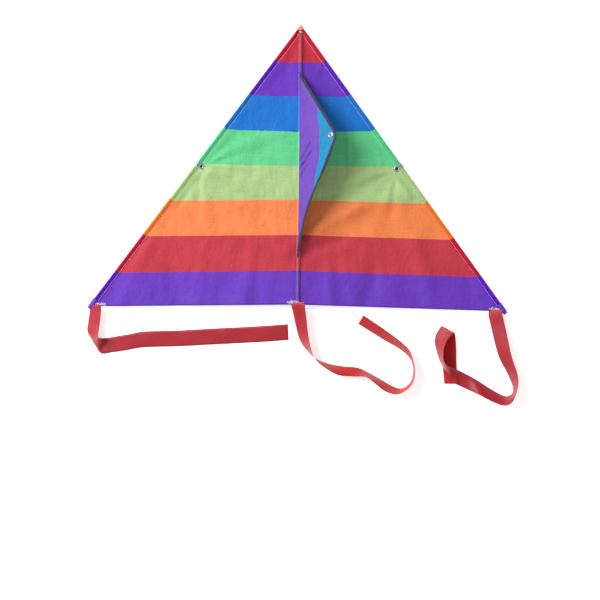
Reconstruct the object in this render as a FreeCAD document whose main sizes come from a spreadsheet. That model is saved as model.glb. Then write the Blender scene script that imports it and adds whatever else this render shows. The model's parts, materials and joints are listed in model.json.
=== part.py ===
import FreeCAD, Part
import math
import os
import Sketcher

# Delta kite, lying keel side up. Row frame in millimetres: +Z up from the floor, +Y towards the nose,
# +X towards the right wing tip, the spine on the plane X = 0.

DRIVING_SIZES = {
    # plan of the sail
    "nose_y": 323.0,
    "spine_length": 475.0,
    "edge_length": 600.0,
    "half_angle": 36.5,
    "cloth": 0.4,
    # fold lines and heights above the floor
    "fold_x": 3.1,
    "seam_height": 12.2,
    "wing_droop": 1.58,
    # rods, channels and end caps
    "rod_diameter": 3.0,
    "channel_bore": 4.1,
    "channel_outside": 4.9,
    "cap_outside": 4.0,
    "cap_bore": 3.1,
    "cap_length": 8.0,
    "cap_floor": 1.5,
    "spar_start": 28.0,
    "spar_length": 560.0,
    "sleeve_start": 26.0,
    "sleeve_length": 570.0,
    "spine_rod_length": 452.0,
    "strip_width": 5.2,
    # nose patch and stitched bars
    "patch_depth": 9.5,
    "patch_half_width": 7.0,
    "patch_thickness": 2.4,
    "bar_length": 18.0,
    "bar_width": 3.0,
    "bar_thickness": 0.8,
    # eyelets in the sail and in the keel
    "eyelet_x": 166.5,
    "eyelet_y": 81.0,
    "eyelet_bore": 5.0,
    "eyelet_barrel": 6.0,
    "eyelet_flange": 10.0,
    "flange_thickness": 0.5,
    # keel
    "keel_root_top": 241.0,
    "keel_root_length": 313.0,
    "keel_depth": 80.0,
    "keel_tip_top": 134.0,
    "keel_tip_length": 7.0,
    "keel_lean": 40.0,
    "keel_height": 17.6,
    "binding_width": 4.5,
    "binding_thickness": 1.2,
    "tow_eyelet_inset": 12.0,
    # cross spreader and its sockets
    "rod_height": 2.5,
    "socket_outside": 5.0,
    "socket_start": 4.0,
    "socket_length": 22.0,
    "ring_outside": 9.2,
    "ring_bore": 5.0,
    "ring_low": 0.5,
    "ring_high": 3.6,
    "spreader_inset": 7.0,
    # vinyl connector loops round the leading edges
    "loop_width": 5.0,
    "loop_wall": 0.8,
    "loop_reach": 12.0,
    "loop_below": 2.85,
    "loop_above": 2.85,
    "post_diameter": 4.0,
    # tail ribbons
    "ribbon_width": 26.0,
    "ribbon_thickness": 0.6,
    "edge_ribbon_height": 24.0,
    "left_tail_reach": 306.0,
    "left_tail_drop": 74.0,
}


def make_sheet(document):
    sheet = document.addObject("Spreadsheet::Sheet", "Sizes")
    for row, (alias, number) in enumerate(DRIVING_SIZES.items(), start=1):
        sheet.set(f"A{row}", alias)
        sheet.set(f"B{row}", str(number))
        sheet.setAlias(f"B{row}", alias)
    document.recompute()
    return sheet


doc = FreeCAD.newDocument("delta_kite")
sizes = make_sheet(doc)
parts = []


def size(alias):
    """A driving dimension as a plain number."""
    return float(sizes.get(alias))


def place(x=0.0, y=0.0, z=0.0, turns=()):
    """A placement at a point, with turns given as (axis letter, degrees), outermost first."""
    axes = {"x": FreeCAD.Vector(1, 0, 0), "y": FreeCAD.Vector(0, 1, 0), "z": FreeCAD.Vector(0, 0, 1)}
    rotation = FreeCAD.Rotation()
    for axis, degrees in turns:
        rotation = rotation.multiply(FreeCAD.Rotation(axes[axis], degrees))
    return FreeCAD.Placement(FreeCAD.Vector(x, y, z), rotation)


def new_body(name):
    body = doc.addObject("PartDesign::Body", name)
    body.Label = name
    parts.append(body)
    return body


def new_sketch(body, name, plane):
    sketch = body.newObject("Sketcher::SketchObject", f"{body.Name}_{name}")
    support = [item for item in body.Origin.OriginFeatures if item.Role == plane][0]
    sketch.AttachmentSupport = [(support, "")]
    sketch.MapMode = "FlatFace"
    return sketch


def bind(sketch, kind, where, expression):
    """A driving constraint whose size is an expression of the sheet."""
    index = sketch.addConstraint(Sketcher.Constraint(kind, *where, 1.0))
    sketch.setExpression(f"Constraints[{index}]", expression)


def outline(body, name, plane, corners):
    """A closed outline of straight edges, with corners given as (x, y) expressions."""
    sketch = new_sketch(body, name, plane)
    count = len(corners)
    step = 2 * math.pi / count
    starts = [FreeCAD.Vector(10 * math.cos(i * step), 10 * math.sin(i * step), 0) for i in range(count)]
    for i in range(count):
        sketch.addGeometry(Part.LineSegment(starts[i], starts[(i + 1) % count]), False)
    for i in range(count):
        sketch.addConstraint(Sketcher.Constraint("Coincident", i, 2, (i + 1) % count, 1))
    for i, (x, y) in enumerate(corners):
        bind(sketch, "DistanceX", (-1, 1, i, 1), x)
        bind(sketch, "DistanceY", (-1, 1, i, 1), y)
    return sketch


def circles(body, name, plane, rings):
    """Circles given as (x, y, diameter) expressions."""
    sketch = new_sketch(body, name, plane)
    for i, (x, y, diameter) in enumerate(rings):
        sketch.addGeometry(Part.Circle(FreeCAD.Vector(i, i, 0), FreeCAD.Vector(0, 0, 1), 1.0 + i), False)
        bind(sketch, "DistanceX", (-1, 1, i, 3), x)
        bind(sketch, "DistanceY", (-1, 1, i, 3), y)
        bind(sketch, "Diameter", (i,), diameter)
    return sketch


def pad(body, sketch, length, side="One side"):
    feature = body.newObject("PartDesign::Pad", f"{sketch.Name}_pad")
    feature.Profile = sketch
    feature.SideType = side
    feature.setExpression("Length", length)
    sketch.Visibility = False
    return feature


def cut_through(body, sketch):
    feature = body.newObject("PartDesign::Pocket", f"{sketch.Name}_cut")
    feature.Profile = sketch
    feature.Type = "ThroughAll"
    feature.SideType = "Symmetric"
    sketch.Visibility = False
    return feature


def cylinder(name, radius, length, placement):
    """A Part cylinder along its own +Z, with radius and length as expressions."""
    shape = doc.addObject("Part::Cylinder", name)
    shape.setExpression("Radius", radius)
    shape.setExpression("Height", length)
    shape.Placement = placement
    return shape


def rod(name, length, placement):
    item = cylinder(name, "Sizes.rod_diameter / 2", length, placement)
    item.Label = name
    parts.append(item)


def end_cap(name, placement):
    """A soft vinyl cup pushed over a rod's end, closed at local z = 0 and open along +Z."""
    body = new_body(name)
    pad(body, circles(body, "wall", "XY_Plane", [("0", "0", "Sizes.cap_outside")]), "Sizes.cap_length")
    bore = body.newObject("PartDesign::Pocket", f"{name}_bore")
    bore.Profile = circles(body, "rim", "XY_Plane", [("0", "0", "Sizes.cap_bore")])
    bore.Profile[0].setExpression("AttachmentOffset.Base.z", "Sizes.cap_floor")
    bore.Type = "ThroughAll"
    bore.Reversed = True
    body.Placement = placement


def eyelet(name, cloth, placement):
    """A flanged metal eyelet round a hole in cloth, its axis along local Z."""
    body = new_body(name)
    bore, barrel, flange = (f"Sizes.eyelet_{part} / 2" for part in ("bore", "barrel", "flange"))
    face = f"({cloth} / 2)"
    back = f"({cloth} / 2 + Sizes.flange_thickness)"
    profile = outline(body, "profile", "XZ_Plane", [
        (bore, f"-{back}"), (flange, f"-{back}"), (flange, f"-{face}"), (barrel, f"-{face}"),
        (barrel, face), (flange, face), (flange, back), (bore, back)])
    turn = body.newObject("PartDesign::Revolution", f"{name}_turn")
    turn.Profile = profile
    turn.ReferenceAxis = (profile, ["V_Axis"])
    turn.Angle = 360
    profile.Visibility = False
    body.Placement = placement


def sewn_bar(name, length, placement):
    """A bar of dense white stitches."""
    body = new_body(name)
    x, y = f"{length} / 2", "Sizes.bar_width / 2"
    bar = outline(body, "bar", "XY_Plane", [(f"-{x}", f"-{y}"), (x, f"-{y}"), (x, y), (f"-{x}", y)])
    pad(body, bar, "Sizes.bar_thickness")
    body.Placement = placement


# ---- spine: rod in its channel, nose patch, end caps and the sewn bar at the trailing edge

CHANNEL_AXIS_Z = size("seam_height") + size("cloth") / 2 + size("channel_bore") / 2
TRAILING_Y = size("nose_y") - size("spine_length")
CHANNEL_LENGTH = "(Sizes.spine_length - Sizes.patch_depth - 0.5)"
TOWARDS_NOSE = ("x", -90)


def make_spine_pocket():
    """The cloth channel: a flat strip under a tube, both running the length of the spine."""
    body = new_body("spine_pocket")
    lift = size("channel_bore") / 2
    tube = circles(body, "tube", "XY_Plane", [("0", "0", "Sizes.channel_outside")])
    pad(body, tube, CHANNEL_LENGTH)
    half, low = "Sizes.strip_width / 2", "(Sizes.channel_bore / 2 + Sizes.cloth)"
    high = "(Sizes.channel_bore / 2)"
    strip = outline(body, "strip", "XY_Plane", [
        (f"-{half}", low), (half, low), (half, high), (f"-{half}", high)])
    pad(body, strip, CHANNEL_LENGTH)
    cut_through(body, circles(body, "bore", "XY_Plane", [("0", "0", "Sizes.channel_bore")]))
    body.Placement = place(0, TRAILING_Y, size("seam_height") + size("cloth") / 2 + lift, [TOWARDS_NOSE])


def make_spine():
    make_spine_pocket()
    start = TRAILING_Y + 5.0
    rod("spine_rod", "Sizes.spine_rod_length", place(0, start, CHANNEL_AXIS_Z, [TOWARDS_NOSE]))
    end_cap("spine_tail_cap", place(0, start - size("cap_floor"), CHANNEL_AXIS_Z, [TOWARDS_NOSE]))
    end = start + size("spine_rod_length") + size("cap_floor")
    end_cap("spine_nose_cap", place(0, end, CHANNEL_AXIS_Z, [("x", 90)]))

    patch = new_body("nose_patch")
    width, depth = "Sizes.patch_half_width", "Sizes.patch_depth"
    shape = outline(patch, "shape", "XY_Plane", [
        (f"-{width}", f"-{depth}"), (width, f"-{depth}"), ("1.2", "0"), ("-1.2", "0")])
    pad(patch, shape, "Sizes.patch_thickness", "Symmetric")
    patch.Placement = place(0, size("nose_y"), size("seam_height") + 1.0)

    bar_top = size("seam_height") - size("cloth") / 2 - size("bar_thickness")
    sewn_bar("centre_bartack", "Sizes.strip_width", place(0, TRAILING_Y + 3.0, bar_top))


# ---- wings: each is drawn in its own plane, which droops from the fold line to the tip

def wing_frame(side):
    """The plane of one wing: origin on its fold line, local X outwards on the right, local Y = row Y."""
    return place(side * size("fold_x"), 0, size("seam_height"), [("y", side * size("wing_droop"))])


def along_edge(side, distance, inset):
    """A point at a distance down the leading edge and inset from it, in the wing's own plane."""
    angle = math.radians(size("half_angle"))
    x = distance * math.sin(angle) - inset * math.cos(angle) - size("fold_x")
    y = size("nose_y") - distance * math.cos(angle) - inset * math.sin(angle)
    return FreeCAD.Vector(side * x, y, 0)


def edge_frame(side, distance, inset):
    """Local +Z runs down the leading edge from a point on a line parallel to it."""
    where = along_edge(side, distance, inset)
    down = place(where.x, where.y, 0, [("z", side * size("half_angle")), ("x", 90)])
    return wing_frame(side).multiply(down)


def make_sail(side, hand):
    """The flat panel between the fold line, the trailing edge and the leading-edge sleeve."""
    body = new_body(f"{hand}_sail")
    inset = "(Sizes.channel_outside + 0.1)"
    gap = "0.2"
    edge_x = f"({inset} / cos(Sizes.half_angle))"
    # the panel's outer line is x = depth * tan(half_angle) - edge_x, with depth measured from the nose
    top_depth = "(Sizes.patch_depth + 6)"
    tip_depth = "(Sizes.edge_length * cos(Sizes.half_angle) - 1)"

    def outer_x(depth):
        return f"{side} * ({depth} * tan(Sizes.half_angle) - {edge_x} - Sizes.fold_x)"

    def at(depth):
        return f"Sizes.nose_y - {depth}"

    sail = outline(body, "panel", "XY_Plane", [
        (f"{side} * {gap}", at(top_depth)),
        (f"{side} * {gap}", at("Sizes.spine_length")),
        (outer_x(tip_depth), at(tip_depth)),
        (outer_x(top_depth), at(top_depth))])
    pad(body, sail, "Sizes.cloth", "Symmetric")
    x = f"{side} * (Sizes.eyelet_x - Sizes.fold_x)"
    cut_through(body, circles(body, "hole", "XY_Plane", [(x, "Sizes.eyelet_y", "Sizes.eyelet_barrel + 0.1")]))
    body.Placement = wing_frame(side)


def make_sleeve(side, hand):
    """The sewn channel along the leading edge that holds the spar."""
    body = new_body(f"{hand}_sleeve")
    tube = circles(body, "tube", "XY_Plane", [
        ("0", "0", "Sizes.channel_outside"), ("0", "0", "Sizes.channel_bore")])
    pad(body, tube, "Sizes.sleeve_length")
    body.Placement = edge_frame(side, size("sleeve_start"), size("channel_outside") / 2)


def make_connector(side, hand):
    """A clear vinyl loop round the sleeve, with a post through the eyelet."""
    body = new_body(f"{hand}_connector")
    low, high = "Sizes.loop_below", "Sizes.loop_above"
    wall, reach, inner = "Sizes.loop_wall", "Sizes.loop_reach", "2.2"
    loop = outline(body, "loop", "XZ_Plane", [
        (f"-{inner}", f"-({low} + {wall})"), (reach, f"-({low} + {wall})"), (reach, f"{high} + {wall}"),
        (f"-{inner}", f"{high} + {wall}"), (f"-{inner}", high), (f"{reach} - {wall}", high),
        (f"{reach} - {wall}", f"-{low}"), (f"-{inner}", f"-{low}")])
    pad(body, loop, "Sizes.loop_width", "Symmetric")
    post = circles(body, "post", "XY_Plane", [("0", "0", "Sizes.post_diameter")])
    post.setExpression("AttachmentOffset.Base.z", f"{high} + {wall} / 2")
    # the left post is the spreader's pivot; the right one stops inside its loop, where the rod unplugs
    depth = 11.4 if side < 0 else size("loop_above") + size("loop_below") + size("loop_wall")
    feature = pad(body, post, f"{depth}")
    feature.Reversed = True
    outwards = size("half_angle") if side > 0 else 180 - size("half_angle")
    centre = place(side * (size("eyelet_x") - size("fold_x")), size("eyelet_y"), 0, [("z", outwards)])
    body.Placement = wing_frame(side).multiply(centre)


def make_wing(side, hand):
    make_sail(side, hand)
    make_sleeve(side, hand)
    axis_inset = size("channel_outside") / 2
    start = size("spar_start") + size("cap_floor")
    rod(f"{hand}_edge_spar", "Sizes.spar_length", edge_frame(side, start, axis_inset))
    end_cap(f"{hand}_spar_nose_cap", edge_frame(side, size("spar_start"), axis_inset))
    far_end = start + size("spar_length") + size("cap_floor")
    turned = edge_frame(side, far_end, axis_inset).multiply(place(turns=[("x", 180)]))
    end_cap(f"{hand}_spar_tip_cap", turned)
    x, y = side * (size("eyelet_x") - size("fold_x")), size("eyelet_y")
    eyelet(f"{hand}_eyelet", "Sizes.cloth", wing_frame(side).multiply(place(x, y, 0)))
    make_connector(side, hand)
    bar = along_edge(side, size("edge_length") - 14.0, 18.0)
    lift = size("cloth") / 2
    sewn_bar(f"{hand}_tip_bartack", "Sizes.bar_length", wing_frame(side).multiply(place(bar.x, bar.y + 3.0, lift)))


# ---- spreader: the cross rod under the sail, with a vinyl socket on each end

def make_socket(side, hand):
    """A tube on the rod's end, with a flat ring that turns on the connector's post."""
    ring = doc.addObject("Part::Cylinder", f"{hand}_ring")
    ring.setExpression("Radius", "Sizes.ring_outside / 2")
    ring.setExpression("Height", "Sizes.ring_high - Sizes.ring_low")
    ring.Placement = place(0, 0, size("ring_low"))
    inwards = ("y", -90 * side)
    tube = cylinder(f"{hand}_tube", "Sizes.socket_outside / 2", "Sizes.socket_length",
                    place(-side * size("socket_start"), 0, size("rod_height"), [inwards]))
    blank = doc.addObject("Part::MultiFuse", f"{hand}_socket_blank")
    blank.Shapes = [ring, tube]
    eye = cylinder(f"{hand}_eye", "Sizes.ring_bore / 2", "Sizes.ring_high + 5", place(0, 0, -1))
    bore_start = -side * (size("spreader_inset") - 0.5)
    bore = cylinder(f"{hand}_rod_bore", "Sizes.cap_bore / 2", "Sizes.socket_length",
                    place(bore_start, 0, size("rod_height"), [inwards]))
    holes = doc.addObject("Part::MultiFuse", f"{hand}_socket_holes")
    holes.Shapes = [eye, bore]
    socket = doc.addObject("Part::Cut", f"{hand}_socket")
    socket.Base = blank
    socket.Tool = holes
    socket.Label = f"{hand}_socket"
    socket.Placement = place(side * size("eyelet_x"), size("eyelet_y"), 0)
    parts.append(socket)


def make_spreader():
    start = place(-size("eyelet_x") + size("spreader_inset"), size("eyelet_y"), size("rod_height"), [("y", 90)])
    rod("spreader_rod", "2 * (Sizes.eyelet_x - Sizes.spreader_inset)", start)
    for side, hand in SIDES:
        make_socket(side, hand)


# ---- keel: a cloth fin on the spine, bound on its two free edges, with the tow eyelet near its tip

def keel_corners(inset):
    """Corners of the fin in its own plane, moved in from both free edges and from the tip."""
    top = "(Sizes.keel_root_top)"
    bottom = "(Sizes.keel_root_top - Sizes.keel_root_length)"
    tip_top = "Sizes.keel_tip_top"
    tip_bottom = "(Sizes.keel_tip_top - Sizes.keel_tip_length)"
    upper = f"atan(Sizes.keel_depth / ({top} - {tip_top}))"
    lower = f"atan(Sizes.keel_depth / ({tip_bottom} - {bottom}))"
    reach = f"(Sizes.keel_depth - {inset})"
    start, end = f"({top} - {inset} / sin({upper}))", f"({bottom} + {inset} / sin({lower}))"
    return [("0", start), (reach, f"{start} - {reach} / tan({upper})"),
            (reach, f"{end} + {reach} / tan({lower})"), ("0", end)]


def keel_frame(x=0.0, y=0.0):
    lean = place(0, 0, size("keel_height"), [("y", -size("keel_lean"))])
    return lean.multiply(place(x, y, 0))


def make_keel():
    panel = new_body("keel_panel")
    pad(panel, outline(panel, "fin", "XY_Plane", keel_corners("Sizes.binding_width")), "Sizes.cloth", "Symmetric")
    x, y = "Sizes.keel_depth - Sizes.tow_eyelet_inset", "Sizes.keel_tip_top - Sizes.keel_tip_length / 2"
    cut_through(panel, circles(panel, "hole", "XY_Plane", [(x, y, "Sizes.eyelet_barrel + 0.1")]))
    panel.Placement = keel_frame()

    binding = new_body("keel_binding")
    outside, inside = keel_corners("0"), keel_corners("Sizes.binding_width")
    pad(binding, outline(binding, "tape", "XY_Plane", outside + inside[::-1]), "Sizes.binding_thickness",
        "Symmetric")
    binding.Placement = keel_frame()

    reach = size("keel_depth") - size("tow_eyelet_inset")
    middle = size("keel_tip_top") - size("keel_tip_length") / 2
    eyelet("tow_eyelet", "Sizes.cloth", keel_frame(reach, middle))


# ---- tails: three ribbons sewn to the wing tips and to the foot of the spine

# each standing ribbon: its path on the floor, then flat stretches as (corners, height above the floor)
MIDDLE_TAIL_PATH = [(5, -163), (12, -196), (28, -238), (58, -264), (112, -270), (150, -294), (182, -294),
                    (196, -272), (191, -238), (158, -210), (110, -177)]
MIDDLE_TAIL_FLATS = [([(-10, -155), (12, -155), (10, -168), (0, -168)], 11.9)]
RIGHT_TAIL_PATH = [(344, -178), (349, -205), (358, -240), (368, -280), (363, -307), (348, -316),
                   (312, -300), (272, -282), (249, -252), (238, -218), (246, -191)]
RIGHT_TAIL_FLATS = [([(328, -166), (349, -166), (350, -181), (334, -181)], 0.0),
                    ([(247, -189), (267, -199), (272, -284), (253, -284)], 0.0)]


def rounded_path(points):
    """Straight runs joined by tangent arcs, each as large as its two runs allow."""
    places = [FreeCAD.Vector(x, y, 0) for x, y in points]
    edges = []
    cursor = places[0]
    for before, corner, after in zip(places, places[1:], places[2:]):
        arriving = corner - before
        leaving = after - corner
        trim = 0.45 * min(arriving.Length, leaving.Length)
        start = corner - arriving * (trim / arriving.Length)
        end = corner + leaving * (trim / leaving.Length)
        inwards = (start + end) * 0.5 - corner
        half_turn = math.asin(inwards.Length / trim)
        middle = corner + inwards * (trim * math.tan(half_turn / 2) / inwards.Length)
        edges.append(Part.LineSegment(cursor, start).toShape())
        edges.append(Part.Arc(start, middle, end).toShape())
        cursor = end
    edges.append(Part.LineSegment(cursor, places[-1]).toShape())
    return Part.Wire(edges)


def edge_ribbon(name, points, flats):
    """A ribbon that stands on its edge on the floor, with the flat stretches that belong to it."""
    thickness = size("ribbon_thickness")
    face = rounded_path(points).makeOffset2D(thickness / 2, 0, True, True)
    shape = face.extrude(FreeCAD.Vector(0, 0, size("edge_ribbon_height")))
    for corners, height in flats:
        places = [FreeCAD.Vector(x, y, height) for x, y in corners + corners[:1]]
        flat = Part.Face(Part.makePolygon(places))
        shape = shape.fuse(flat.extrude(FreeCAD.Vector(0, 0, thickness)))
    item = doc.addObject("Part::Feature", name)
    item.Shape = shape.removeSplitter()
    item.Label = name
    parts.append(item)


def make_left_tail():
    """A ribbon laid flat: straight back from the wing tip, then folded across to the right."""
    body = new_body("left_tail")
    width, reach, drop = "Sizes.ribbon_width", "Sizes.left_tail_reach", "Sizes.left_tail_drop"
    shape = outline(body, "ribbon", "XY_Plane", [
        ("0", "0"), ("-4", "-38"), ("20", f"-{drop}"), (f"{width} + {reach}", f"-{drop} + {width}"),
        (f"{width} + {reach}", f"-{drop} + 2 * {width}"), (f"{width} - 4", f"-{drop} + {width}"),
        ("21", "0")])
    pad(body, shape, "Sizes.ribbon_thickness")
    body.Placement = place(-355.5, -166, 0)


SIDES = ((-1, "left"), (1, "right"))

make_spine()
for wing_side, wing_hand in SIDES:
    make_wing(wing_side, wing_hand)
make_spreader()
make_keel()
make_left_tail()
edge_ribbon("middle_tail", MIDDLE_TAIL_PATH, MIDDLE_TAIL_FLATS)
edge_ribbon("right_tail", RIGHT_TAIL_PATH, RIGHT_TAIL_FLATS)

doc.recompute()

for item in doc.Objects:
    if {"Invalid", "Error"} & set(item.State):
        raise RuntimeError(f"{item.Label} failed: {item.State}")

os.makedirs("parts", exist_ok=True)
for item in parts:
    if item.Shape.isNull() or not item.Shape.isValid():
        raise RuntimeError(f"{item.Label} has no valid shape")
    item.Shape.exportStep(f"parts/{item.Label}.step")
    print(f"{item.Label}: {len(item.Shape.Solids)} solid, {item.Shape.Volume / 1000:.3f} cm3")
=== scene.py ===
"""Looks of a striped delta kite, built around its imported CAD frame. Lengths in the code are millimetres."""

import json
import math
import random

import bpy
from mathutils import Matrix, Vector, noise


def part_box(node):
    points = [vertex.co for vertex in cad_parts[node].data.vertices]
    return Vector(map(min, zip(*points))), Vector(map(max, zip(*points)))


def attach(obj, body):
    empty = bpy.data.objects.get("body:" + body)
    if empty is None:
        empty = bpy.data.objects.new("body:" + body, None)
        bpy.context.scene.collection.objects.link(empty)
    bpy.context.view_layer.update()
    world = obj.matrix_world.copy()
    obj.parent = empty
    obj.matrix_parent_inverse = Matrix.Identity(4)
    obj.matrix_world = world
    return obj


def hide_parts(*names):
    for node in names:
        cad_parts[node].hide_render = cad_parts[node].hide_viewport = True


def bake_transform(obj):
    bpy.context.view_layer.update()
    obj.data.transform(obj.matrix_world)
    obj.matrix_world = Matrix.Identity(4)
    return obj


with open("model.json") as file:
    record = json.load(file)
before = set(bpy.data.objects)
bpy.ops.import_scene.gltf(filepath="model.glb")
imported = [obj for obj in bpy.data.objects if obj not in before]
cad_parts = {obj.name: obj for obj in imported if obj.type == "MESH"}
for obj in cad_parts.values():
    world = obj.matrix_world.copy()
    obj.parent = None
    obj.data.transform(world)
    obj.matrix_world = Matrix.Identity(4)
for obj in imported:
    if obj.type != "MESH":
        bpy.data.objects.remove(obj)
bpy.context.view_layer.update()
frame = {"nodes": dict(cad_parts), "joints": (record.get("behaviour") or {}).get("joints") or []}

MM = 0.001
JOINT = {joint["name"]: joint for joint in frame["joints"]}
SIDES = ((-1, "left"), (1, "right"))


# ---- sizes, read from the frame where it holds them

def box_mm(node):
    low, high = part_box(node)
    return low / MM, high / MM


def middle_mm(node):
    low, high = box_mm(node)
    return (low + high) / 2


FOLD_X = JOINT["right_wing_fold"]["pos_m"][0] / MM
FOLD_Z = JOINT["right_wing_fold"]["pos_m"][2] / MM
NOSE_Y = box_mm("nose_patch")[1].y
TRAIL_Y = box_mm("spine_pocket")[0].y
EYELET = middle_mm("right_eyelet")
SPINE_LENGTH = NOSE_Y - TRAIL_Y
EDGE_LENGTH = 600.0
HALF_ANGLE = math.radians(36.5)
SIN_EDGE, COS_EDGE = math.sin(HALF_ANGLE), math.cos(HALF_ANGLE)
DROOP = math.atan((FOLD_Z - EYELET.z) / (EYELET.x - FOLD_X))
CLOTH = 0.3
FLOOR_GAP = 0.08


def ease(value, start, end):
    """0 before start, 1 after end, smooth between; start may be the larger."""
    part = min(max((value - start) / (end - start), 0.0), 1.0)
    return part * part * (3 - 2 * part)


def wave(x, y=0.0, z=0.0):
    """Smooth repeatable noise from -1 to 1."""
    return noise.noise(Vector((x, y, z)))


# ---- mesh tools

def make_object(name, points, faces, materials, uvs=None, values=None):
    mesh = bpy.data.meshes.new(name)
    mesh.from_pydata([Vector(p) * MM for p in points], [], faces)
    if uvs:
        layer = mesh.uv_layers.new(name="cloth")
        for loop in mesh.loops:
            layer.data[loop.index].uv = (uvs[loop.vertex_index][0] * MM, uvs[loop.vertex_index][1] * MM)
    for key, numbers in (values or {}).items():
        mesh.attributes.new(key, "FLOAT", "POINT").data.foreach_set("value", numbers)
    mesh.polygons.foreach_set("use_smooth", [True] * len(mesh.polygons))
    for item in materials if isinstance(materials, (list, tuple)) else [materials]:
        mesh.materials.append(item)
    thing = bpy.data.objects.new(name, mesh)
    bpy.context.scene.collection.objects.link(thing)
    return thing


def grid_faces(rows, columns, start=0, ring=False):
    """Quads of a grid whose points are stored row by row."""
    faces = []
    for i in range(rows - 1):
        for j in range(columns if ring else columns - 1):
            a, b = start + i * columns + j, start + i * columns + (j + 1) % columns
            faces.append((a, b, b + columns, a + columns))
    return faces


class Shell:
    """Collects points, faces, UVs and vertex values of one piece from grids and tubes."""

    def __init__(self):
        self.points, self.faces, self.uvs, self.values = [], [], [], {}

    def grid(self, rows, uvs=None, ring=False, caps=False, **values):
        start, columns = len(self.points), len(rows[0])
        self.faces += grid_faces(len(rows), columns, start, ring)
        if caps:
            last = start + (len(rows) - 1) * columns
            self.faces.append(tuple(range(start + columns - 1, start - 1, -1)))
            self.faces.append(tuple(range(last, last + columns)))
        for i, row in enumerate(rows):
            self.points += row
            self.uvs += uvs[i] if uvs else [(j * 2.0, i * 2.0) for j in range(columns)]
        for key, table in values.items():
            self.values.setdefault(key, []).extend(v for line in table for v in line)

    def tube(self, path, radii, sides=6, up=Vector((0, 0, 1)), flat=1.0):
        """A tube along a path; flat squeezes it along the up direction."""
        rows, uvs, run = [], [], 0.0
        for i, point in enumerate(path):
            before, after = path[max(i - 1, 0)], path[min(i + 1, len(path) - 1)]
            along = (after - before).normalized()
            side = along.cross(up).normalized()
            over = side.cross(along).normalized() * flat
            run += (point - before).length
            turns = [2 * math.pi * k / sides for k in range(sides)]
            rows.append([point + (side * math.cos(a) + over * math.sin(a)) * radii[i] for a in turns])
            uvs.append([(k * 0.2, run) for k in range(sides)])
        self.grid(rows, uvs, ring=True, caps=True)

    def make(self, name, materials):
        return make_object(name, self.points, self.faces, materials, self.uvs, self.values)


def lathe(profile, sides=48, lobes=None):
    """Rows of a turned shape about Z from (radius, height) pairs; lobes(angle, radius) may move a radius."""
    rows = []
    for radius, height in profile:
        row = []
        for k in range(sides):
            angle = 2 * math.pi * k / sides
            reach = lobes(angle, radius) if lobes else radius
            row.append(Vector((reach * math.cos(angle), reach * math.sin(angle), height)))
        rows.append(row)
    return rows


def spline(stations, steps):
    """Catmull-Rom samples through tuples of numbers."""
    samples = []
    for i in range(len(stations) - 1):
        p0, p1 = stations[max(i - 1, 0)], stations[i]
        p2, p3 = stations[i + 1], stations[min(i + 2, len(stations) - 1)]
        for k in range(steps):
            u = k / steps
            samples.append(tuple(
                0.5 * (2 * b + (c - a) * u + (2 * a - 5 * b + 4 * c - d) * u * u
                       + (3 * b - a - 3 * c + d) * u ** 3)
                for a, b, c, d in zip(p0, p1, p2, p3)))
    samples.append(tuple(stations[-1]))
    return samples


def thicken(piece, thickness=CLOTH, offset=0.0, back_material=0):
    solid = piece.modifiers.new("thickness", "SOLIDIFY")
    solid.thickness = thickness * MM
    solid.offset = offset
    solid.material_offset = back_material
    return piece


# ---- materials

def colour(red, green, blue):
    """Linear colour from 0-255 display values."""
    def linear(value):
        value /= 255
        return value / 12.92 if value <= 0.04045 else ((value + 0.055) / 1.055) ** 2.4
    return (linear(red), linear(green), linear(blue), 1.0)


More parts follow.
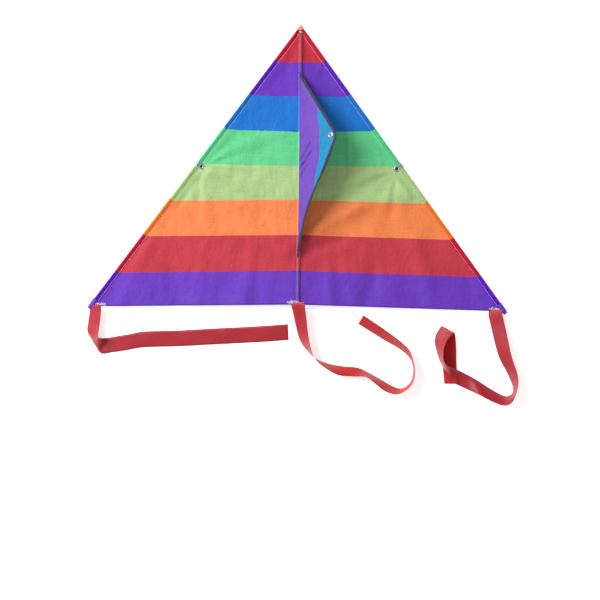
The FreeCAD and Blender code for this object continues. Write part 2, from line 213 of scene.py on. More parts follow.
class Shader:
    """A principled material and short calls for its node graph."""

    def __init__(self, name, **sockets):
        self.material = bpy.data.materials.new(name)
        self.material.use_nodes = True
        self.tree = self.material.node_tree
        self.surface = self.tree.nodes["Principled BSDF"]
        for key, value in sockets.items():
            self.surface.inputs[key.replace("_", " ")].default_value = value

    def node(self, kind, inputs=None, **settings):
        made = self.tree.nodes.new(f"ShaderNode{kind}")
        for key, value in settings.items():
            setattr(made, key, value)
        for key, value in (inputs or {}).items():
            self.feed(made.inputs[key], value)
        return made

    def feed(self, socket, value):
        if isinstance(value, bpy.types.NodeSocket):
            self.tree.links.new(value, socket)
        else:
            socket.default_value = value

    def math(self, operation, *values):
        return self.node("Math", dict(enumerate(values)), operation=operation).outputs[0]

    def place(self, scale=(1, 1, 1)):
        """The cloth's own coordinates in metres, stretched."""
        coords = self.node("UVMap", uv_map="cloth").outputs[0]
        return self.node("Mapping", {"Vector": coords, "Scale": scale}).outputs[0]

    def space(self, scale=(1, 1, 1)):
        coords = self.node("TexCoord").outputs["Object"]
        return self.node("Mapping", {"Vector": coords, "Scale": scale}).outputs[0]

    def noise(self, vector, scale, detail=3.0, rough=0.5):
        return self.node("TexNoise", {"Vector": vector, "Scale": scale, "Detail": detail,
                                      "Roughness": rough}).outputs["Fac"]

    def spread(self, value, low, high):
        """Maps 0..1 to low..high."""
        return self.node("MapRange", {"Value": value, "To Min": low, "To Max": high}).outputs[0]

    def weave(self, vector, pitch):
        """Plain weave: the product of two sine waves, from -1 to 1."""
        parts = self.node("SeparateXYZ", {0: vector}).outputs
        turns = 2 * math.pi / (pitch * MM)
        waves = [self.math("SINE", self.math("MULTIPLY", part, turns)) for part in parts[:2]]
        return self.math("MULTIPLY", *waves)

    def shade(self, base, factor):
        """Base colour multiplied by a grey factor."""
        grey = self.node("CombineXYZ", {0: factor, 1: factor, 2: factor}).outputs[0]
        mixed = self.node("VectorMath", {0: base, 1: grey}, operation="MULTIPLY").outputs[0]
        self.feed(self.surface.inputs["Base Color"], mixed)

    def bump(self, *heights):
        """Stacks (height, distance in millimetres) pairs."""
        normal = None
        for height, distance in heights:
            inputs = {"Height": height, "Distance": distance * MM, "Strength": 1.0}
            if normal:
                inputs["Normal"] = normal
            normal = self.node("Bump", inputs).outputs[0]
        self.feed(self.surface.inputs["Normal"], normal)


def striped_cloth():
    shader = Shader("printed_sail_cloth", Roughness=0.62, Specular_IOR_Level=0.22, Sheen_Weight=0.05)
    shader.surface.inputs["Sheen Roughness"].default_value = 0.4
    stripe = shader.node("Attribute", attribute_name="stripe").outputs["Fac"]
    ragged = shader.node("Attribute", attribute_name="ragged").outputs["Fac"]
    bleed = shader.spread(shader.noise(shader.place((160, 260, 160)), 1.0, 3.0), -0.5, 0.5)
    reach = shader.math("MULTIPLY_ADD", ragged, 0.07, 0.012)
    stripe = shader.math("ADD", stripe, shader.math("MULTIPLY", bleed, reach))
    ramp = shader.node("ValToRGB", {0: shader.math("DIVIDE", stripe, float(len(STRIPES)))})
    ramp.color_ramp.interpolation = "CONSTANT"
    for i, shade in enumerate(STRIPES):
        stop = ramp.color_ramp.elements[0] if i == 0 else ramp.color_ramp.elements.new(i / len(STRIPES))
        stop.color = shade
    ramp.color_ramp.elements[-1].color = STRIPES[-1]
    # painted shade: this attribute darkens and deepens the print; at 1 it stands for doubled cloth at the
    # sleeves and seam allowances, as if less light came through it from below; larger values paint the shade
    # of a dark line along the spine channel's left flank, and negative values paint a pale highlight on its
    # right flank
    tone = shader.node("Attribute", attribute_name="tone").outputs["Fac"]
    painted_shade_colour = shader.node("HueSaturation", {
        "Saturation": shader.math("MULTIPLY_ADD", tone, 0.12, 1.0),
        "Value": shader.math("MULTIPLY_ADD", tone, -0.08, 1.0), "Color": ramp.outputs[0]})
    finish_cloth(shader, painted_shade_colour.outputs[0])
    return shader.material


def finish_cloth(shader, base, pitch=0.7, streak=0.14, grain=0.10):
    weave = shader.weave(shader.place(), pitch)
    slubs = shader.noise(shader.place((24, 330, 24)), 1.0, 3.0, 0.6)
    mottle = shader.noise(shader.place((34, 20, 34)), 1.0, 4.0, 0.6)
    speck = shader.noise(shader.place(), 480.0, 2.0)
    factor = shader.math("MULTIPLY", shader.spread(slubs, 1 - streak, 1 + streak),
                         shader.spread(mottle, 0.86, 1.14))
    factor = shader.math("MULTIPLY", factor, shader.spread(speck, 1 - grain, 1 + grain))
    factor = shader.math("MULTIPLY", factor, shader.node(
        "MapRange", {"Value": weave, "From Min": -1.0, "To Min": 0.96, "To Max": 1.04}).outputs[0])
    shader.shade(base, factor)
    rough = shader.spread(mottle, 0.52, 0.68)
    shader.feed(shader.surface.inputs["Roughness"], rough)
    crinkle = shader.noise(shader.place((70, 46, 70)), 1.0, 4.0, 0.6)
    shader.bump((mottle, 2.6), (crinkle, 1.6), (slubs, 0.1), (weave, 0.04))


CHERRY, VIOLET, BLUE, GREEN = (
    colour(185, 40, 60), colour(100, 50, 180), colour(15, 110, 195), colour(95, 200, 135))
LIME, ORANGE, RED, PURPLE = (
    colour(165, 195, 130), colour(235, 130, 75), colour(190, 55, 70), colour(105, 55, 185))
STRIPES = (CHERRY, VIOLET, BLUE, GREEN, LIME, ORANGE, RED, PURPLE)

# depth of each colour change below the nose, on the spine and on the leading edge
SPINE_STRIPES = (64, 122, 182, 240, 297, 357, 418)
EDGE_STRIPES = (64, 121, 179, 238, 301, 362, 425)
EDGE_DEPTH = EDGE_LENGTH * COS_EDGE


def plain_cloth(name, base, **detail):
    shader = Shader(name, Roughness=0.62, Specular_IOR_Level=0.22, Sheen_Weight=0.05)
    paint = shader.node("RGB")
    paint.outputs[0].default_value = base
    finish_cloth(shader, paint.outputs[0], **detail)
    return shader.material


def keel_cloth():
    """The same cloth cut along its stripes: violet by the root, sky blue outside."""
    shader = Shader("keel_cloth", Roughness=0.62, Specular_IOR_Level=0.22, Sheen_Weight=0.05)
    across = shader.node("Attribute", attribute_name="across").outputs["Fac"]
    bleed = shader.spread(shader.noise(shader.place((120, 60, 60)), 1.0, 2.0), -0.6, 0.6)
    ramp = shader.node("ValToRGB", {0: shader.math(
        "MULTIPLY_ADD", shader.math("ADD", across, bleed), 0.01, 0.5)})
    ramp.color_ramp.interpolation = "CONSTANT"
    ramp.color_ramp.elements[0].color = colour(106, 68, 172)
    ramp.color_ramp.elements[1].color = colour(26, 128, 178)
    ramp.color_ramp.elements[1].position = 0.5
    finish_cloth(shader, ramp.outputs[0], grain=0.05)
    return shader.material


def ribbon_cloth(name, base, roughness, gloss):
    """Satin ribbon: fine ribs across its width, woven selvedges and a soft gloss."""
    shader = Shader(name, Roughness=roughness, Specular_IOR_Level=gloss, Sheen_Weight=0.06)
    shader.surface.inputs["Sheen Roughness"].default_value = 0.35
    shader.surface.inputs["Sheen Tint"].default_value = colour(255, 200, 205)
    parts = shader.node("SeparateXYZ", {0: shader.place()}).outputs
    ribs = shader.math("SINE", shader.math("MULTIPLY", parts[1], 2 * math.pi / (0.55 * MM)))
    yarn = shader.noise(shader.place((900, 40, 40)), 1.0, 2.0)
    cloudy = shader.noise(shader.place(), 22.0, 2.0)
    factor = shader.math("MULTIPLY", shader.spread(yarn, 0.94, 1.06), shader.spread(cloudy, 0.9, 1.1))
    across = shader.math("ABSOLUTE", shader.math("SUBTRACT", parts[0], 13 * MM))
    selvedge = shader.node("MapRange", {"Value": across, "From Min": 11.9 * MM, "From Max": 12.6 * MM,
                                        "To Min": 1.0, "To Max": 0.84}).outputs[0]
    ribbing = shader.node("MapRange", {"Value": ribs, "From Min": -1.0, "To Min": 0.97,
                                       "To Max": 1.03}).outputs[0]
    factor = shader.math("MULTIPLY", shader.math("MULTIPLY", factor, selvedge), ribbing)
    paint = shader.node("RGB")
    paint.outputs[0].default_value = base
    shader.shade(paint.outputs[0], factor)
    shader.bump((cloudy, 0.6), (ribs, 0.03), (yarn, 0.02))
    return shader.material


def binding_cloth():
    shader = Shader("binding_tape", Roughness=0.7, Specular_IOR_Level=0.35, Sheen_Weight=0.25)
    paint = shader.node("RGB")
    paint.outputs[0].default_value = colour(38, 46, 66)
    weave = shader.weave(shader.place(), 0.9)
    worn = shader.noise(shader.place(), 240.0, 3.0)
    factor = shader.math("MULTIPLY", shader.spread(worn, 0.75, 1.3), shader.node(
        "MapRange", {"Value": weave, "From Min": -1.0, "To Min": 0.85, "To Max": 1.15}).outputs[0])
    shader.shade(paint.outputs[0], factor)
    shader.bump((worn, 0.15), (weave, 0.08))
    return shader.material


def thread():
    shader = Shader("white_thread", Roughness=0.55, Sheen_Weight=0.2)
    paint = shader.node("RGB")
    paint.outputs[0].default_value = colour(232, 228, 246)
    parts = shader.node("SeparateXYZ", {0: shader.place()}).outputs
    twist = shader.math("SINE", shader.math("MULTIPLY", shader.math(
        "ADD", parts[1], parts[0]), 2 * math.pi / (0.5 * MM)))
    shader.shade(paint.outputs[0], shader.node(
        "MapRange", {"Value": twist, "From Min": -1.0, "To Min": 0.86, "To Max": 1.04}).outputs[0])
    shader.bump((twist, 0.06))
    return shader.material


def rod_finish():
    """Pultruded fibreglass: near black, with fine lengthwise fibres."""
    shader = Shader("fibreglass", Roughness=0.35, Coat_Weight=0.25, Specular_IOR_Level=0.5)
    paint = shader.node("RGB")
    paint.outputs[0].default_value = colour(40, 41, 44)
    fibres = shader.noise(shader.space((2200, 60, 2200)), 1.0, 3.0)
    across = shader.noise(shader.space((60, 2200, 2200)), 1.0, 3.0)
    shader.shade(paint.outputs[0], shader.spread(shader.math("MULTIPLY", fibres, across), 0.6, 2.2))
    shader.feed(shader.surface.inputs["Roughness"], shader.spread(fibres, 0.25, 0.5))
    shader.bump((fibres, 0.05))
    return shader.material


def moulded(name, base, roughness=0.45):
    shader = Shader(name, Roughness=roughness, Specular_IOR_Level=0.45)
    paint = shader.node("RGB")
    paint.outputs[0].default_value = base
    texture = shader.noise(shader.space(), 900.0, 3.0)
    scuffs = shader.noise(shader.space(), 120.0, 4.0, 0.7)
    shader.shade(paint.outputs[0], shader.spread(scuffs, 0.8, 1.25))
    shader.feed(shader.surface.inputs["Roughness"], shader.spread(texture, roughness - 0.1, roughness + 0.15))
    shader.bump((texture, 0.05))
    return shader.material


def vinyl():
    shader = Shader("clear_vinyl", Roughness=0.1, IOR=1.45, Transmission_Weight=0.85)
    paint = shader.node("RGB")
    paint.outputs[0].default_value = colour(222, 240, 243)
    cloud = shader.noise(shader.space(), 160.0, 3.0)
    shader.shade(paint.outputs[0], shader.spread(cloud, 0.9, 1.05))
    shader.feed(shader.surface.inputs["Roughness"], shader.spread(cloud, 0.08, 0.3))
    shader.bump((cloud, 0.25))
    return shader.material


def metal():
    shader = Shader("eyelet_metal", Roughness=0.3, Metallic=1.0)
    paint = shader.node("RGB")
    paint.outputs[0].default_value = colour(196, 200, 210)
    scratches = shader.noise(shader.space((900, 200, 900)), 1.0, 4.0, 0.7)
    shader.shade(paint.outputs[0], shader.spread(scratches, 0.7, 1.15))
    shader.feed(shader.surface.inputs["Roughness"], shader.spread(scratches, 0.2, 0.45))
    shader.bump((scratches, 0.03))
    return shader.material


SAIL = striped_cloth()
KEEL = keel_cloth()
PURPLE = plain_cloth("tip_cloth", colour(104, 56, 196))
NOSE = plain_cloth("nose_cloth", colour(250, 146, 84))
RIBBON_FACE = ribbon_cloth("ribbon_face", colour(168, 21, 39), 0.34, 0.5)
RIBBON_BACK = ribbon_cloth("ribbon_back", colour(188, 13, 21), 0.4, 0.3)
TAPE = binding_cloth()
THREAD = thread()
ROD = rod_finish()
BLACK_PLASTIC = moulded("black_vinyl_cap", colour(20, 20, 23), 0.6)
VINYL = vinyl()
METAL = metal()


# ---- the sail: one sheet a side, from the spine seam over the spar and back under to the edge seam

SPINE_INNER = 0.4
SLEEVE_SEAM = 7.4
SLEEVE_RADIUS = 2.2
SPAR_INSET = 2.45
SAIL_ROWS, SAIL_COLUMNS = 170, 72
FIRST_ROW = 8.0 / EDGE_DEPTH

# soft creases of each wing: (x, y) to (x, y), half width, height; x is measured outwards
CREASES = {
    "left": [((166, 78), (104, 48), 7, 0.9), ((164, 74), (151, 43), 6, 0.6), ((168, 76), (78, 60), 6, 0.5),
             ((164, 72), (196, 26), 7, -0.7), ((60, 2), (10, -18), 9, -0.8),
             ((205, -150), (215, -110), 13, -1.2),
             ((300, -150), (262, -60), 14, 0.9), ((8, 150), (80, 120), 10, 0.5),
             ((95, -152), (80, -70), 12, 0.8),
             ((20, -60), (120, -30), 12, 0.7)],
    "right": [((8, -38), (96, 11), 13, 1.5), ((96, 11), (190, 40), 14, 0.9), ((40, 30), (143, 61), 9, -0.9),
              ((8, -62), (70, -42), 9, -0.8), ((166, 78), (186, 34), 7, 0.9), ((168, 74), (214, 30), 6, -0.8),
              ((84, 140), (84, 84), 4, 0.4), ((134, 120), (140, 84), 4, 0.4),
              ((120, -150), (128, -96), 12, -0.8),
              ((230, -150), (205, -60), 15, 1.0), ((300, -152), (290, -110), 11, -0.8),
              ((60, -150), (52, -100), 8, 0.7)],
}


def crease(x, y, start, end, width, height):
    ax, ay, bx, by = *start, *end
    length = math.hypot(bx - ax, by - ay)
    along = ((x - ax) * (bx - ax) + (y - ay) * (by - ay)) / length
    across = ((x - ax) * (by - ay) - (y - ay) * (bx - ax)) / length
    beyond = max(-along, along - length, 0.0)
    return height * math.exp(-(across / width) ** 2 - (beyond / (2 * width)) ** 2)


def ripple(side, x, y):
    """Height of the cloth above the wing's flat plane."""
    hand = "left" if side < 0 else "right"
    edge = max((NOSE_Y - y) * math.tan(HALF_ANGLE), 1.0)
    inset = (edge - x) * COS_EDGE
    away = math.hypot(x - EYELET.x, y - EYELET.y)
    angle = math.atan2(y - EYELET.y, x - EYELET.x)
    fan = 1.9 * math.sin(13 * angle + 1.3 * side) * ease(away, 9, 30) * ease(away, 150, 50)
    fan *= 0.45 + 0.55 * wave(angle * 2.1, side * 3.0)
    belly = -1.5 * math.sin(math.pi * min(x / edge, 1.0)) * ease(away, 10, 70)
    soft = 1.7 * wave(x / 46, y / 62, 4.0 + side) + 0.6 * wave(x / 17, y / 24, 9.0 + side)
    foot = 1.6 * wave(x / 21, 0.3 * side, y / 90) * ease(y, -60, -150)
    total = belly + fan + soft * ease(away, 8, 45) + foot
    total += 3.0 * sum(crease(x, y, *fold) for fold in CREASES[hand])
    total = max(total, 1.4 - on_wing(side, x, y).z)
    return total * ease(x, 2.5, 20) * ease(inset, SLEEVE_SEAM - 1, SLEEVE_SEAM + 16) * ease(away, 5, 20)


def on_wing(side, x, y, lift=0.0):
    """A point of the wing's plane, x outwards from the spine, raised by lift."""
    z = FOLD_Z - max(x - FOLD_X, 0.0) * math.tan(DROOP) + lift
    return Vector((side * x, y, max(z, FLOOR_GAP)))


def on_sail(side, x, y, lift=0.0):
    return on_wing(side, x, y, ripple(side, x, y) + lift)


def stripe_at(depth_share, across_share):
    """Stripe number with its fraction, at a share of the way down and out."""
    marks = [0.0]
    for spine, edge in zip(SPINE_STRIPES, EDGE_STRIPES):
        marks.append(spine / SPINE_LENGTH * (1 - across_share) + edge / EDGE_DEPTH * across_share)
    marks.append(1.0)
    for i in range(len(marks) - 1):
        if depth_share <= marks[i + 1] or i == len(marks) - 2:
            return min(i + (depth_share - marks[i]) / (marks[i + 1] - marks[i]), len(marks) - 1.001)


def sleeve_profile():
    """(inset from the leading edge, height) of the cloth round the spar, seam to seam."""
    over = [(6.4, 0.75), (5.2, 1.5)]
    turns = [math.radians(60 + 240 * k / 12) for k in range(13)]
    arc = [(SPAR_INSET + SLEEVE_RADIUS * math.cos(a), SLEEVE_RADIUS * math.sin(a)) for a in turns]
    under = [(5.2, -1.55), (6.4, -0.95), (SLEEVE_SEAM, -0.55), (9.4, -0.5)]
    return over + arc + under


def row_end(share):
    """The seam point of a row: x, y where the flat cloth meets the sleeve."""
    spine_y = NOSE_Y - SPINE_LENGTH * share
    edge_x, edge_y = EDGE_LENGTH * share * SIN_EDGE, NOSE_Y - EDGE_LENGTH * share * COS_EDGE
    seam = min(SLEEVE_SEAM, 0.6 * edge_x * COS_EDGE)
    part = 1 - seam / (edge_x * COS_EDGE)
    return SPINE_INNER + (edge_x - SPINE_INNER) * part, spine_y + (edge_y - spine_y) * part, seam


def make_sail(side, hand):
    cloth = Shell()
    rows, uvs, stripes, ragged, tones = [], [], [], [], []
    profile = sleeve_profile()
    shares = [FIRST_ROW + (1 - FIRST_ROW) * i / (SAIL_ROWS - 1) for i in range(SAIL_ROWS)]
    for share in shares:
        spine_y = NOSE_Y - SPINE_LENGTH * share
        seam_x, seam_y, seam = row_end(share)
        row, uv, stripe, rough = [], [], [], []
        for j in range(SAIL_COLUMNS + 1):
            part = j / SAIL_COLUMNS
            x = SPINE_INNER + (seam_x - SPINE_INNER) * part
            y = spine_y + (seam_y - spine_y) * part
            row.append(on_sail(side, x, y))
            uv.append((x, y))
            stripe.append(stripe_at(share, part))
        scale = seam / SLEEVE_SEAM
        run = 0.0
        before = (SLEEVE_SEAM, 0.0)
        pucker = 1 + 0.05 * wave(share * EDGE_LENGTH / 9, side)
        for inset, height in profile:
            out = (SLEEVE_SEAM - inset) * scale
            run += math.hypot(inset - before[0], height - before[1])
            before = (inset, height)
            tall = height * max(scale, 0.8) * pucker
            row.append(on_wing(side, seam_x + out * COS_EDGE, seam_y + out * SIN_EDGE, tall))
            uv.append((seam_x + run * COS_EDGE, seam_y + run * SIN_EDGE))
            stripe.append(stripe_at(share, 1.0))
        for number in stripe:
            rough.append(1.0 if side < 0 and abs(number - 3) < 0.4 else 0.0)
        # painted shade on the sleeve's doubled cloth, as if less light came through it
        tones.append([0.0] * SAIL_COLUMNS + [1.0] * (len(profile) + 1))
        rows.append(row)
        uvs.append(uv)
        stripes.append(stripe)
        ragged.append(rough)
    cloth.grid(rows, uvs, stripe=stripes, ragged=ragged, tone=tones)
    # the trailing edge is turned under
    hem_rows, hem_uvs = [], []
    for back, drop in ((0.0, 0.0), (-0.35, -0.22), (0.1, -0.5), (5.0, -0.55)):
        line = [on_sail(side, uvs[-1][j][0], uvs[-1][j][1], drop) + Vector((0, back, 0))
                for j in range(SAIL_COLUMNS + 1)]
        hem_rows.append(line)
        hem_uvs.append([(uvs[-1][j][0], uvs[-1][j][1] - back) for j in range(SAIL_COLUMNS + 1)])
    last = [[stripe_at(1.0, 0.5)] * (SAIL_COLUMNS + 1) for _ in hem_rows]
    none = [[0.0] * (SAIL_COLUMNS + 1) for _ in hem_rows]
    cloth.grid(hem_rows, hem_uvs, stripe=last, ragged=none, tone=none)
    piece = thicken(cloth.make(f"{hand}_sail_cloth", SAIL))
    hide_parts(f"{hand}_sail", f"{hand}_sleeve")
    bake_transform(piece)
    return piece


def running_stitches(name, line, pitch, length, width, body, finish=None):
    """Separate stitches along a sampled line of (point, up) pairs."""
    stitches = Shell()
    runs = [0.0]
    for (a, _), (b, _) in zip(line, line[1:]):
        runs.append(runs[-1] + (b - a).length)

    def sample(distance):
        i = 0
        while i < len(runs) - 2 and runs[i + 1] < distance:
            i += 1
        part = (distance - runs[i]) / max(runs[i + 1] - runs[i], 1e-6)
        return line[i][0].lerp(line[i + 1][0], part), line[i][1]

    start = 0.5 * (pitch - length)
    while start + length < runs[-1]:
        path, radii = [], []
        for part, rise, girth in ((0, -0.12, 0.3), (0.15, 0.05, 0.8), (0.5, 0.14, 1.0), (0.85, 0.05, 0.8),
                                  (1, -0.12, 0.3)):
            point, up = sample(start + length * part)
            path.append(point + up * (rise * width))
            radii.append(0.5 * width * girth)
        stitches.tube(path, radii, sides=6, up=up, flat=0.7)
        start += pitch
    piece = stitches.make(name, finish or THREAD)
    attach(piece, body)
    return piece


def make_edge_stitches(side, hand):
    line = []
    for i in range(240):
        share = 0.03 + 0.955 * i / 239
        x, y, _ = row_end(share)
        line.append((on_sail(side, x - 0.5, y, 0.22), Vector((0, 0, 1))))
    running_stitches(f"{hand}_edge_stitches", line, 3.0, 2.3, 0.62, f"{hand}_wing")


for side, hand in SIDES:
    make_sail(side, hand)
    make_edge_stitches(side, hand)


# ---- the spine: a channel sewn over the seam, with the rod inside

CHANNEL_RADIUS = 2.28
CHANNEL_AXIS_Z = middle_mm("spine_rod").z


def channel_height(y):
    """Top of the channel; it is sewn down flat just before the trailing edge."""
    low, high = FOLD_Z + 0.5, CHANNEL_AXIS_Z + CHANNEL_RADIUS
    return low + (high - low) * ease(y, TRAIL_Y + 0.3, TRAIL_Y + 3.0)


def make_spine_channel():
    channel = Shell()
    rows, uvs, stripes = [], [], []
    count = 150
    for i in range(count):
        y = box_mm("spine_pocket")[1].y - (box_mm("spine_pocket")[1].y - TRAIL_Y) * i / (count - 1)
        tall = (channel_height(y) - FOLD_Z - 0.35) / (CHANNEL_AXIS_Z + CHANNEL_RADIUS - FOLD_Z - 0.35)
        wide = CHANNEL_RADIUS * (1 + 0.04 * wave(y / 11, 2.0))
        section = [(-2.95, 0.32), (-2.55, 0.36)]
        for k in range(13):
            turn = math.radians(205 - 230 * k / 12)
            up = CHANNEL_AXIS_Z - FOLD_Z + CHANNEL_RADIUS * math.sin(turn)
            section.append((wide * math.cos(turn), max(up * tall, 0.34)))
        section += [(2.55, 0.36), (2.95, 0.32)]
        rows.append([Vector((x, y, FOLD_Z + z)) for x, z in section])
        uvs.append([(40 + k * 0.9, y) for k in range(len(section))])
        stripes.append([stripe_at((NOSE_Y - y) / SPINE_LENGTH, 0.0)] * len(section))
    # painted shade down the channel's left flank and a painted highlight down its right flank
    flank_painted_shading = [3.5, 3.5, 3.0, 2.0, 1.0, 0.2, -0.4] + [-0.7] * (len(rows[0]) - 7)
    channel.grid(rows, uvs, stripe=stripes, ragged=[[0.0] * len(row) for row in rows],
                 tone=[flank_painted_shading for _ in rows])
    # the seam allowance under the two sails
    under, under_uvs, under_stripes = [], [], []
    for row, stripe in zip(rows, stripes):
        y = row[0].y
        under.append([Vector((x, y, FOLD_Z - 0.42 - 0.06 * abs(x) * wave(y / 7, x)))
                      for x in (-3.4, -1.7, 0, 1.7, 3.4)])
        under_uvs.append([(60 + x, y) for x in (-3.4, -1.7, 0, 1.7, 3.4)])
        under_stripes.append(stripe[:5])
    # painted shade on the doubled seam allowance under the sails
    channel.grid(under, under_uvs, stripe=under_stripes, ragged=[[0.0] * 5 for _ in under],
                 tone=[[1.0] * 5 for _ in under])
    piece = thicken(channel.make("spine_channel", SAIL), 0.26)
    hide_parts("spine_pocket")
    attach(piece, "spine")
    for name, x, height in (("spine_stitches_left", -2.62, 0.56), ("spine_stitches_right", 2.62, 0.56),
                            ("spine_stitches_under_left", -2.2, -0.75),
                            ("spine_stitches_under_right", 2.2, -0.75)):
        up = Vector((0, 0, 1 if height > 0 else -1))
        line = [(Vector((x, 308 - 456 * i / 200, FOLD_Z + height)), up) for i in range(201)]
        running_stitches(name, line, 3.0, 2.2, 0.5, "spine")


make_spine_channel()


def make_nose_patch():
    """A small orange cap folded over the nose."""
    low, high = box_mm("nose_patch")
    patch = Shell()
    rows, uvs = [], []
    for i in range(13):
        part = i / 12
        y = high.y - (high.y - low.y) * part
        half = 0.5 + (high.x - 0.5) * part ** 0.85
        ridge = 0.9 + 2.6 * part
        section = []
        for k in range(17):
            across = -1 + 2 * k / 16
            section.append(Vector((half * across, y + 0.25 * wave(part * 4, across * 3),
                                   FOLD_Z + 0.5 + ridge * math.exp(-(across * half / 2.6) ** 2))))
        back = [Vector((half * (1 - 2 * k / 8), y, FOLD_Z - 0.75)) for k in range(9)]
        rows.append(section + back)
        uvs.append([(k * 0.9, y) for k in range(len(section) + len(back))])
    patch.grid(rows, uvs, ring=True)
    piece = thicken(patch.make("nose_cap_cloth", NOSE), 0.25)
    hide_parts("nose_patch")
    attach(piece, "spine")


make_nose_patch()


def make_tip_pocket(side, hand):
    """The cloth folded over the end of the sleeve."""
    pocket = Shell()
    rows, uvs = [], []
    for i in range(15):
        part = i / 14
        down = 583 + 19.5 * part
        centre_x, centre_y = down * SIN_EDGE - 3.6 * COS_EDGE, NOSE_Y - down * COS_EDGE - 3.6 * SIN_EDGE
        wide = 4.3 + 0.5 * math.sin(math.pi * part) - 0.9 * part
        tall = 2.62 - 1.75 * ease(part, 0.62, 1.0)
        row = []
        for k in range(20):
            turn = 2 * math.pi * k / 20
            reach = wide * (abs(math.cos(turn)) ** 0.8) * math.copysign(1, math.cos(turn))
            reach += 0.25 * wave(part * 5, turn)
            row.append(on_wing(side, centre_x + reach * COS_EDGE, centre_y + reach * SIN_EDGE,
                               tall * math.sin(turn) + 0.12 * wave(part * 7, turn * 2)))
        rows.append(row)
        uvs.append([(k * 0.8, down) for k in range(20)])
    pocket.grid(rows, uvs, ring=True)
    last = len(pocket.points) - 20
    pocket.faces.append(tuple(range(last, last + 20)))
    piece = thicken(pocket.make(f"{hand}_tip_pocket", PURPLE), 0.25)
    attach(piece, f"{hand}_wing")


def zigzag(name, ground, centre, width, height, strokes, seed, girth=0.42):
    """Dense hand-guided tacking: a thread that swings to and fro, with a few stray loops."""
    rng = random.Random(seed)
    corners = []
    for i in range(strokes):
        part = i / (strokes - 1)
        swing = (0.5 if i % 2 else -0.5) * height * rng.uniform(0.45, 1.0)
        corners.append((centre[0] + width * (part - 0.5) + rng.uniform(-0.9, 0.9),
                        centre[1] + swing + rng.uniform(-0.5, 0.5)))
    for i in range(strokes // 3):
        part = rng.random()
        corners.append((centre[0] + width * (0.5 - part) * 0.9, centre[1] + rng.uniform(-0.4, 0.4) * height))
    tack = Shell()
    samples = spline(corners, 5)
    path = [Vector((x, y, ground(x, y) + girth * (0.8 + 0.5 * (k % 2) + 0.5 * rng.random())))
            for k, (x, y) in enumerate(samples)]
    tack.tube(path, [girth] * len(path), sides=7, flat=0.8)
    return tack.make(name, THREAD)


def make_bartacks():
    def over_spine(x, y):
        if abs(x) < 3.2:
            return channel_height(y) * ease(abs(x), 3.2, 1.6) + (FOLD_Z + 0.2) * ease(abs(x), 1.6, 3.2)
        return on_sail(-1, abs(x), y).z + 0.1

    piece = zigzag("centre_bartack_thread", over_spine, (-7.0, TRAIL_Y + 3.6), 20.0, 6.5, 19, 4)
    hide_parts("centre_bartack")
    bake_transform(piece)
    for side, hand in SIDES:
        def over_tip(x, y, side=side):
            return on_sail(side, abs(x), y).z + 0.1
        centre = (side * 338.0, TRAIL_Y - 3.6)
        piece = zigzag(f"{hand}_tip_bartack_thread", over_tip, centre, 22.0, 5.5, 17, 11 + side)
        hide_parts(f"{hand}_tip_bartack")
        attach(piece, f"{hand}_wing")
    piece = zigzag("nose_bartack_thread", lambda x, y: channel_height(0) * ease(abs(x), 3.4, 1.0)
                   + (FOLD_Z + 0.4) * ease(abs(x), 1.0, 3.4), (1.2, NOSE_Y - 12.5), 7.0, 2.6, 9, 21, 0.3)
    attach(piece, "spine")


for side, hand in SIDES:
    make_tip_pocket(side, hand)
make_bartacks()


# ---- the keel

KEEL_Z = JOINT["keel_stand"]["pos_m"][2] / MM
KEEL_TOP, KEEL_FOOT = box_mm("keel_binding")[1].y, box_mm("keel_binding")[0].y
KEEL_DEPTH, KEEL_LEAN = 80.0, 40.0
TOW = middle_mm("tow_eyelet")
TIP_HALF = 3.5
TIP_TOP, TIP_FOOT = TOW.y + TIP_HALF, TOW.y - TIP_HALF
BINDING = 4.5


TOW_REACH = 68.0
EYELET_CUT = 3.3        # the fin has no cloth this near the middle of its eyelet
VIOLET_WIDTH = 41.0     # how far the keel's violet reaches from the spine


def keel_depth(y):
    """Distance from the root to the free edge at a height on the spine."""
    if y > TIP_TOP:
        return KEEL_DEPTH * (KEEL_TOP - y) / (KEEL_TOP - TIP_TOP)
    return KEEL_DEPTH * min((y - KEEL_FOOT) / (TIP_FOOT - KEEL_FOOT), 1.0)


def keel_point(reach, y, lift=0.0):
    """A point of the leaning, rippled fin: reach from the root, y along the spine."""
    lean = KEEL_LEAN + 26 * ease(y, 105, -30)
    angle = math.radians(lean)
    calm = ease(math.hypot(reach - TOW_REACH, y - TOW.y), 5, 22)
    belly = 2.2 * math.sin(math.pi * min(reach / max(keel_depth(y), 1.0), 1.0)) * calm
    slack = crease(reach, y, (3, 78), (26, 104), 2.2, -3.0) + crease(reach, y, (2, 92), (24, 122), 1.9, 2.8)
    slack += crease(reach, y, (4, 66), (18, 84), 2.0, 2.6) + crease(reach, y, (44, 30), (66, 112), 2.4, 1.5)
    slack += crease(reach, y, (34, 52), (52, 128), 2.8, -1.5)
    slack += crease(reach, y, (3, 128), (22, 158), 1.8, 1.3) + crease(reach, y, (5, 86), (14, 92), 1.1, 1.6)
    slack += 1.1 * wave(reach / 9, y / 26) * ease(reach, 0, 8)
    out = belly + slack * calm * ease(reach, 0, 6) + lift
    return Vector((reach * math.cos(angle) - out * math.sin(angle), y,
                   KEEL_Z + reach * math.sin(angle) + out * math.cos(angle)))


